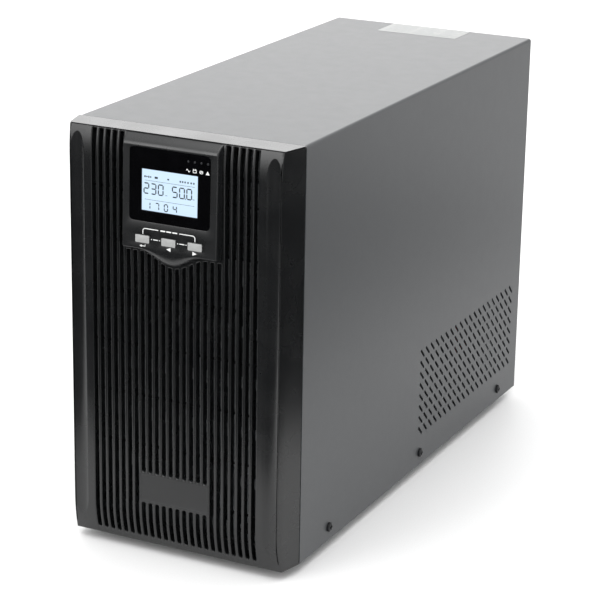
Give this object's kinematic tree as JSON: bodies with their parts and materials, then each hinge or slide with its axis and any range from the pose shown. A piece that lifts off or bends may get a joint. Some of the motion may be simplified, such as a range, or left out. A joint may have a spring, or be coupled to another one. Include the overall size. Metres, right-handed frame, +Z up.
{
  "type": "uninterruptible power supply",
  "caption": "Tower uninterruptible power supply: dark steel case, ribbed plastic bezel with a lit display and push buttons, fans, inlet and outlets at the back.",
  "frame": {"origin": "under the middle of the whole object, on the surface that its feet stand on", "axes": "+X to the right seen from the front, +Y to the back, +Z up"},
  "size_m": [0.1944, 0.4894, 0.3342],
  "materials": {
    "powder_coated_steel": "fine textured satin",
    "galvanised_steel": "galvanised",
    "bezel_plastic": "satin",
    "badge_plastic": "satin",
    "display_plastic": "satin",
    "window_acrylic": "gloss",
    "lcd_glass": "lit, pale blue",
    "circuit_board": "solder mask",
    "smoked_led": "gloss",
    "black_nylon": "satin",
    "silver_button": "metallic paint",
    "ribbon_cable": "satin",
    "paper_label": "satin",
    "black_screw": "black oxide",
    "foot_rubber": "matt",
    "zinc_screw": "zinc plated",
    "fan_plastic": "satin",
    "plated_wire": "nickel plated",
    "connector_shell": "nickel plated",
    "terminal_plastic": "satin",
    "brass": "plated",
    "breaker_plastic": "satin",
    "battery_case": "moulded",
    "lead_sheath": "satin",
    "finned_aluminium": "extruded",
    "capacitor_sleeve": "gloss",
    "choke_winding": "varnished"
  },
  "bodies": {
    "case": {"wrap_cover": "powder_coated_steel", "base_pan": "galvanised_steel", "rear_panel": "powder_coated_steel", "front_plate": "galvanised_steel", "front_bezel": "bezel_plastic", "badge_plate": "badge_plastic", "display_housing": "display_plastic", "display_window": "window_acrylic", "lcd_panel": "lcd_glass", "display_board": "circuit_board", "status_leds": "smoked_led", "tact_switches": "black_nylon", "display_cable": "ribbon_cable", "top_label": "paper_label", "side_screws": "black_screw", "rear_screws": "black_screw", "feet": "foot_rubber", "foot_screws": "zinc_screw", "fan_frame_left": "fan_plastic", "fan_frame_right": "fan_plastic", "fan_guard_left": "plated_wire", "fan_guard_right": "plated_wire", "fan_screws": "zinc_screw", "slot_cover": "powder_coated_steel", "serial_port": "connector_shell", "usb_port": "connector_shell", "surge_jacks": "black_nylon", "shutdown_terminal": "terminal_plastic", "outlet_1": "black_nylon", "outlet_2": "black_nylon", "outlet_3": "black_nylon", "outlet_4": "black_nylon", "high_current_outlet": "black_nylon", "power_inlet": "black_nylon", "inlet_blades": "brass", "input_breaker": "black_nylon", "breaker_nut": "black_nylon", "earth_stud": "brass", "battery_1": "battery_case", "battery_2": "battery_case", "battery_3": "battery_case", "battery_4": "battery_case", "battery_5": "battery_case", "battery_6": "battery_case", "battery_tabs": "brass", "battery_cage": "galvanised_steel", "battery_leads": "lead_sheath", "board_bracket": "galvanised_steel", "main_board": "circuit_board", "heatsinks": "finned_aluminium", "bulk_capacitors": "capacitor_sleeve", "chokes": "choke_winding", "control_board": "circuit_board", "mains_wiring": "lead_sheath"},
    "enter_key": {"enter_button": "silver_button"},
    "left_key": {"left_button": "silver_button"},
    "right_key": {"right_button": "silver_button"},
    "fan_left": {"fan_rotor_left": "fan_plastic"},
    "fan_right": {"fan_rotor_right": "fan_plastic"},
    "breaker_reset": {"breaker_button": "breaker_plastic"}
  },
  "joints": [
    {"name": "enter_press", "type": "slide", "parent": "case", "child": "enter_key", "axis": [0, 0.9996, -0.029], "range_m": [0, 0.0008], "stiffness_N_per_m": 400, "springref_m": -0.0006},
    {"name": "left_press", "type": "slide", "parent": "case", "child": "left_key", "axis": [0, 0.9996, -0.029], "range_m": [0, 0.0008], "stiffness_N_per_m": 400, "springref_m": -0.0006},
    {"name": "right_press", "type": "slide", "parent": "case", "child": "right_key", "axis": [0, 0.9996, -0.029], "range_m": [0, 0.0008], "stiffness_N_per_m": 400, "springref_m": -0.0006},
    {"name": "fan_left_spin", "type": "hinge", "parent": "case", "child": "fan_left", "pos_m": [-0.043, 0.21895, 0.213], "axis": [0, 1, 0], "continuous": true},
    {"name": "fan_right_spin", "type": "hinge", "parent": "case", "child": "fan_right", "pos_m": [0.043, 0.21895, 0.213], "axis": [0, 1, 0], "continuous": true},
    {"name": "breaker_trip", "type": "slide", "parent": "case", "child": "breaker_reset", "axis": [0, 1, 0], "range_m": [0, 0.003]}
  ]
}
